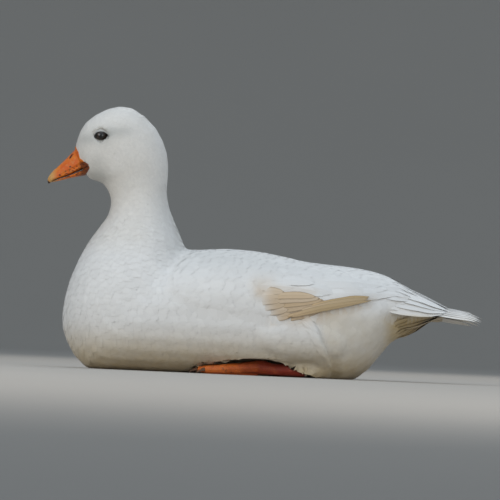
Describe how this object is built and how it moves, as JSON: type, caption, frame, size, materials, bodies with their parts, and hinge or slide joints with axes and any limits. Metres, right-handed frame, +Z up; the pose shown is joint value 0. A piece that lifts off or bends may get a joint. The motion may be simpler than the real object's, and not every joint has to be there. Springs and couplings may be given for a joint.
{
  "type": "white call duck",
  "caption": "Small white domestic duck, life size, sitting on its belly with folded wings, a short orange bill and its feet tucked beside the belly.",
  "frame": {"origin": "on the floor under the middle of the duck's box, half way between the tip of the bill and the tip of the tail", "axes": "-Y is where the duck faces, +X is its left side, +Z is up"},
  "size_m": [0.1286, 0.3524, 0.2103],
  "materials": {
    "plumage_white": "soft white feathers, cream on the folded wing",
    "bill_orange": "satin orange horn, darker towards the ridge",
    "leg_orange": "scaly orange-red skin",
    "claw_horn": "dull brown horn",
    "eye_dark": "wet, nearly black"
  },
  "bodies": {
    "root": {"head": "plumage_white", "neck": "plumage_white", "trunk": "plumage_white", "tail": "plumage_white", "wing_left": "plumage_white", "wing_right": "plumage_white", "thigh_left": "plumage_white", "thigh_right": "plumage_white", "bill_upper": "bill_orange", "bill_lower": "bill_orange", "eye_left": "eye_dark", "eye_right": "eye_dark", "shank_left": "leg_orange", "shank_right": "leg_orange", "foot_left": "leg_orange", "foot_right": "leg_orange", "claw_left_inner": "claw_horn", "claw_left_middle": "claw_horn", "claw_left_outer": "claw_horn", "claw_right_inner": "claw_horn", "claw_right_middle": "claw_horn", "claw_right_outer": "claw_horn"}
  },
  "joints": []
}
